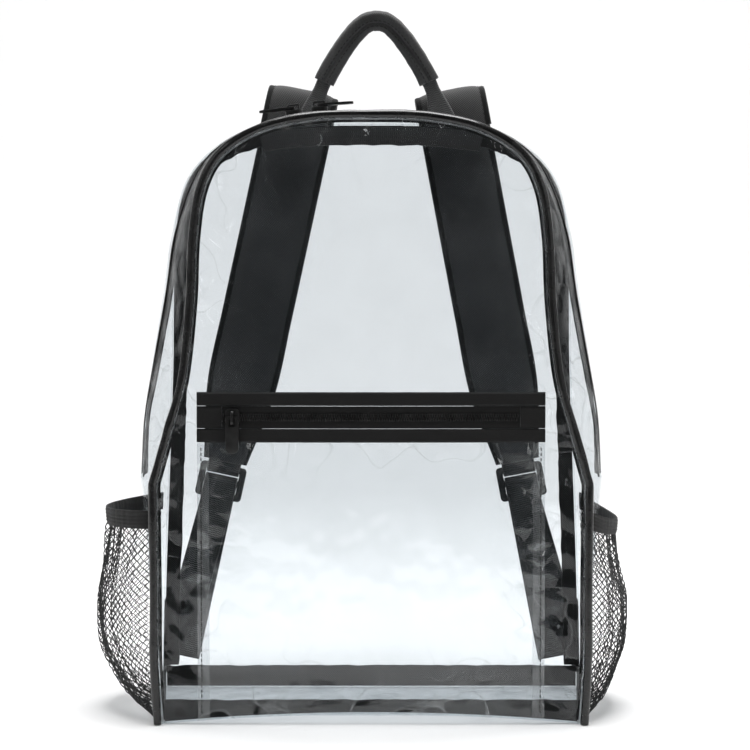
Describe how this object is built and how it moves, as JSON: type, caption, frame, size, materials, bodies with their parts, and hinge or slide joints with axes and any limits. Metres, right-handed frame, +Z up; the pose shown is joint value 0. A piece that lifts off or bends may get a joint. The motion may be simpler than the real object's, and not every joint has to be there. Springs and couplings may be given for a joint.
{
  "type": "clear backpack",
  "caption": "Clear vinyl backpack with black piping, arched zip, flat zipped front pocket, net side pockets, wrapped carry handle and padded shoulder straps, standing on its base.",
  "frame": {"origin": "middle of the bounding box at the height of the surface that the base rests on", "axes": "+Z up, -Y towards the front panel, +X to the right seen from the front"},
  "size_m": [0.3856, 0.1846, 0.5156],
  "materials": {
    "clear_vinyl": "clear glossy flexible vinyl with faint creases",
    "black_piping": "glossy black welt piping",
    "black_binding": "black woven binding tape and polyester cloth",
    "black_webbing": "black ribbed polypropylene webbing",
    "zip_tape": "black zip tape with a nylon coil",
    "black_net": "black knitted diamond net",
    "strap_fabric": "black padded polyester, greyed by light",
    "black_plastic": "black moulded acetal",
    "painted_metal": "black enamelled zinc"
  },
  "bodies": {
    "root": {"front_panel": "clear_vinyl", "back_panel": "clear_vinyl", "gusset_front": "clear_vinyl", "gusset_rear": "clear_vinyl", "side_panel_left": "clear_vinyl", "side_panel_right": "clear_vinyl", "base_panel": "clear_vinyl", "pocket_panel": "clear_vinyl", "piping_front": "black_piping", "seam_binding_back": "black_binding", "seam_binding_front": "black_binding", "base_binding_front": "black_binding", "base_binding_back": "black_binding", "base_binding_left": "black_binding", "base_binding_right": "black_binding", "top_strip": "black_binding", "net_pocket_band_left": "black_binding", "net_pocket_band_right": "black_binding", "pocket_zip_upper": "black_binding", "pocket_zip_lower": "black_binding", "pocket_zip_end_left": "black_binding", "pocket_zip_end_right": "black_binding", "handle_wrap": "black_binding", "strap_tab_left": "black_binding", "strap_tab_right": "black_binding", "handle_webbing": "black_webbing", "strap_webbing_left": "black_webbing", "strap_webbing_right": "black_webbing", "lock_loop_left": "black_webbing", "lock_loop_right": "black_webbing", "main_zip": "zip_tape", "pocket_zip": "zip_tape", "net_pocket_left": "black_net", "net_pocket_right": "black_net", "shoulder_strap_left": "strap_fabric", "shoulder_strap_right": "strap_fabric", "ladder_lock_left": "black_plastic", "ladder_lock_right": "black_plastic", "main_zip_left_slider": "painted_metal", "main_zip_right_slider": "painted_metal", "pocket_zip_slider": "painted_metal"},
    "main_pull_left": {"main_zip_left_pull": "painted_metal"},
    "main_pull_right": {"main_zip_right_pull": "painted_metal"},
    "pocket_pull": {"pocket_zip_pull": "painted_metal"}
  },
  "joints": [
    {"name": "main_pull_left_hinge", "type": "hinge", "parent": "root", "child": "main_pull_left", "pos_m": [-0.04981, -0.00828, 0.43576], "axis": [0, 1, 0], "range_deg": [0, 105]},
    {"name": "main_pull_right_hinge", "type": "hinge", "parent": "root", "child": "main_pull_right", "pos_m": [-0.03125, -0.00825, 0.43811], "axis": [0, -1, 0], "range_deg": [0, 105]},
    {"name": "pocket_pull_hinge", "type": "hinge", "parent": "root", "child": "pocket_pull", "pos_m": [-0.08943, -0.08952, 0.21552], "axis": [-1, 0, 0], "range_deg": [0, 150]}
  ]
}
